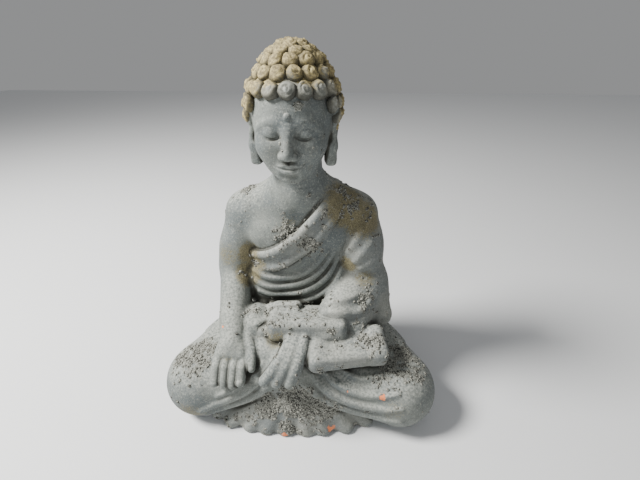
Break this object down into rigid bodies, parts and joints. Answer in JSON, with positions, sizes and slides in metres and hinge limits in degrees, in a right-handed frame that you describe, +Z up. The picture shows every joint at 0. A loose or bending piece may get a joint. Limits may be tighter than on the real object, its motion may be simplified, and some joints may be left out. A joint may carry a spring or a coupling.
{
  "type": "seated figure statue",
  "caption": "Seated cross-legged devotional figure in painted terracotta, one hand over its shin touching the earth, the other in its lap, with curled hair and a draped robe.",
  "frame": {"origin": "centre of the bounding box on the floor plane under the figure", "axes": "+Z up, -Y towards the viewer the figure faces, +X towards the figure's own left knee"},
  "size_m": [0.3168, 0.1768, 0.4],
  "materials": {
    "grey_paint": "matt blue-grey paint over fired terracotta, worn",
    "lichen_paint": "blue-grey paint overgrown with ochre lichen",
    "gritty_paint": "grey paint with sand and grit patches"
  },
  "bodies": {
    "root": {"seat_shell": "grey_paint", "torso_front_shell": "grey_paint", "torso_back_shell": "grey_paint", "head_shell": "grey_paint", "hair_cap": "lichen_paint", "topknot": "lichen_paint", "left_ear": "grey_paint", "right_ear": "grey_paint", "brow_pellet": "grey_paint", "right_arm": "grey_paint", "right_hand": "grey_paint", "left_arm_sleeve": "gritty_paint", "left_hand": "gritty_paint", "right_foot": "gritty_paint", "robe_sash": "gritty_paint", "robe_tail": "grey_paint", "skirt_fan": "gritty_paint"}
  },
  "joints": []
}
